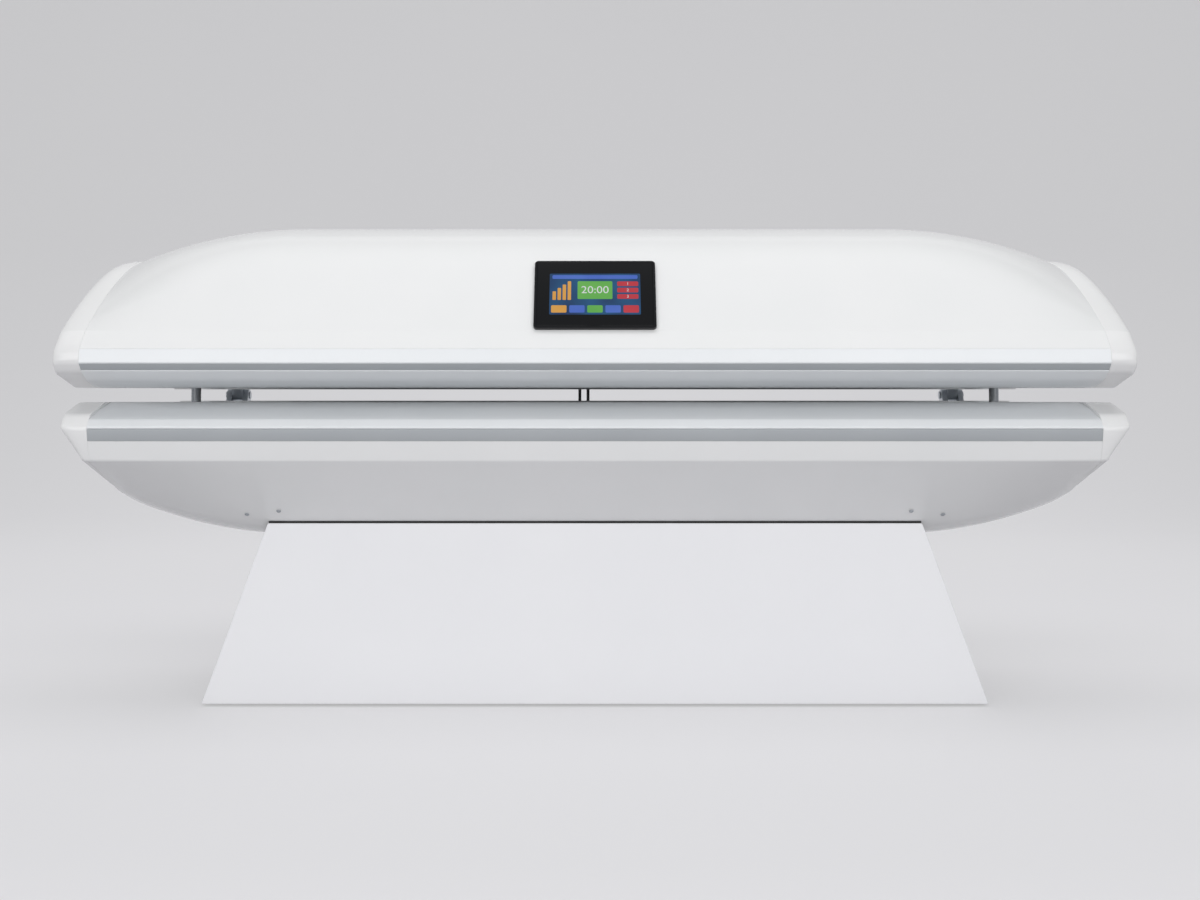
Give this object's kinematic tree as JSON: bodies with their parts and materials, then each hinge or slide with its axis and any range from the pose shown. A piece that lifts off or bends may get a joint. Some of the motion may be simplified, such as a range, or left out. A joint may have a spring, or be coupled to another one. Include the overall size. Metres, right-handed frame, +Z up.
{
  "type": "light therapy bed",
  "caption": "Clamshell light therapy bed: white hinged canopy over a white tray on a flared pedestal, aluminium lip rails, touch screen, gas springs and LED-lit acrylic tunnel.",
  "frame": {"origin": "floor centre under the bed", "axes": "+X along the bed, front faces -Y, +Z up"},
  "size_m": [2, 0.93, 0.9498],
  "materials": {
    "shell_white": "glossy white moulding",
    "rail_aluminium": "satin anodised",
    "pedestal_white": "white powder coat",
    "frame_grey": "grey powder coat",
    "driver_case": "plain folded sheet",
    "rib_board": "plain cut plate",
    "led_board": "white solder mask",
    "clear_acrylic": "clear polished sheet",
    "fan_black": "moulded",
    "grille_white": "moulded",
    "zinc_steel": "zinc plated",
    "spring_grey": "grey enamel",
    "spring_rod": "polished",
    "screen_black": "black gloss",
    "rocker_red": "moulded",
    "rubber_black": "plain"
  },
  "bodies": {
    "base": {"tray_shell": "shell_white", "tray_left_cap": "shell_white", "tray_right_cap": "shell_white", "tray_end_trims": "shell_white", "tray_front_rail": "rail_aluminium", "tray_rear_rail": "rail_aluminium", "pedestal_front_panel": "pedestal_white", "pedestal_rear_panel": "pedestal_white", "pedestal_left_panel": "pedestal_white", "pedestal_right_panel": "pedestal_white", "floor_frame": "frame_grey", "uprights": "frame_grey", "cradle_beams": "frame_grey", "panel_brackets": "frame_grey", "equipment_tray": "frame_grey", "led_drivers": "driver_case", "tray_ribs": "rib_board", "tray_led_boards": "led_board", "tray_acrylic": "clear_acrylic", "tray_fan_frames": "fan_black", "mains_inlet": "fan_black", "switch_housing": "fan_black", "tray_fan_grilles": "grille_white", "hinge_fixed_leaves": "zinc_steel", "hinge_pins": "zinc_steel", "tray_spring_studs": "zinc_steel", "inlet_blades": "zinc_steel", "rocker_pin": "zinc_steel", "floor_glides": "rubber_black", "canopy_leads": "rubber_black"},
    "canopy": {"canopy_shell": "shell_white", "canopy_left_cap": "shell_white", "canopy_right_cap": "shell_white", "canopy_end_trims": "shell_white", "canopy_front_rail": "rail_aluminium", "canopy_rear_rail": "rail_aluminium", "canopy_ribs": "rib_board", "canopy_led_boards": "led_board", "canopy_acrylic": "clear_acrylic", "canopy_fan_frames": "fan_black", "screen_controller": "fan_black", "canopy_fan_grilles": "grille_white", "hinge_moving_leaves": "zinc_steel", "canopy_spring_studs": "zinc_steel", "screen_bezel": "screen_black", "screen_glass": "screen_black"},
    "left_cylinder": {"left_spring_cylinder": "spring_grey"},
    "right_cylinder": {"right_spring_cylinder": "spring_grey"},
    "left_rod": {"left_spring_rod": "spring_rod"},
    "right_rod": {"right_spring_rod": "spring_rod"},
    "tray_left_fan": {"tray_left_rotor": "fan_black"},
    "tray_right_fan": {"tray_right_rotor": "fan_black"},
    "canopy_left_fan": {"canopy_left_rotor": "fan_black"},
    "canopy_right_fan": {"canopy_right_rotor": "fan_black"},
    "rocker": {"power_rocker": "rocker_red"}
  },
  "joints": [
    {"name": "canopy_hinge", "type": "hinge", "parent": "base", "child": "canopy", "pos_m": [0, 0.415, 0.598], "axis": [-1, 0, 0], "range_deg": [0, 50], "deforming": ["canopy_leads"]},
    {"name": "left_cylinder_swing", "type": "hinge", "parent": "base", "child": "left_cylinder", "pos_m": [-0.922, 0.21694, 0.46245], "axis": [-1, 0, 0], "range_deg": [0, 25]},
    {"name": "left_rod_swing", "type": "hinge", "parent": "canopy", "child": "left_rod", "pos_m": [-0.922, 0.22915, 0.74985], "axis": [-1, 0, 0], "range_deg": [-25, 0]},
    {"name": "right_cylinder_swing", "type": "hinge", "parent": "base", "child": "right_cylinder", "pos_m": [0.922, 0.21694, 0.46245], "axis": [-1, 0, 0], "range_deg": [0, 25]},
    {"name": "right_rod_swing", "type": "hinge", "parent": "canopy", "child": "right_rod", "pos_m": [0.922, 0.22915, 0.74985], "axis": [-1, 0, 0], "range_deg": [-25, 0]},
    {"name": "tray_left_fan_spin", "type": "hinge", "parent": "base", "child": "tray_left_fan", "pos_m": [-0.3, 0, 0.32], "axis": [0, 0, -1], "continuous": true},
    {"name": "canopy_left_fan_spin", "type": "hinge", "parent": "canopy", "child": "canopy_left_fan", "pos_m": [-0.3, 0.39057, 0.77786], "axis": [0, 0.8415, 0.5403], "continuous": true},
    {"name": "tray_right_fan_spin", "type": "hinge", "parent": "base", "child": "tray_right_fan", "pos_m": [0.3, 0, 0.32], "axis": [0, 0, -1], "continuous": true},
    {"name": "canopy_right_fan_spin", "type": "hinge", "parent": "canopy", "child": "canopy_right_fan", "pos_m": [0.3, 0.39057, 0.77786], "axis": [0, 0.8415, 0.5403], "continuous": true},
    {"name": "power_rocker_tilt", "type": "hinge", "parent": "base", "child": "rocker", "pos_m": [-0.33, 0.33082, 0.10936], "axis": [1, 0, 0], "range_deg": [-13, 0]}
  ],
  "couplings": [
    {"joint": "left_cylinder_swing", "follows": "canopy_hinge", "ratio": 0.5},
    {"joint": "left_rod_swing", "follows": "canopy_hinge", "ratio": -0.5},
    {"joint": "right_cylinder_swing", "follows": "canopy_hinge", "ratio": 0.5},
    {"joint": "right_rod_swing", "follows": "canopy_hinge", "ratio": -0.5}
  ]
}
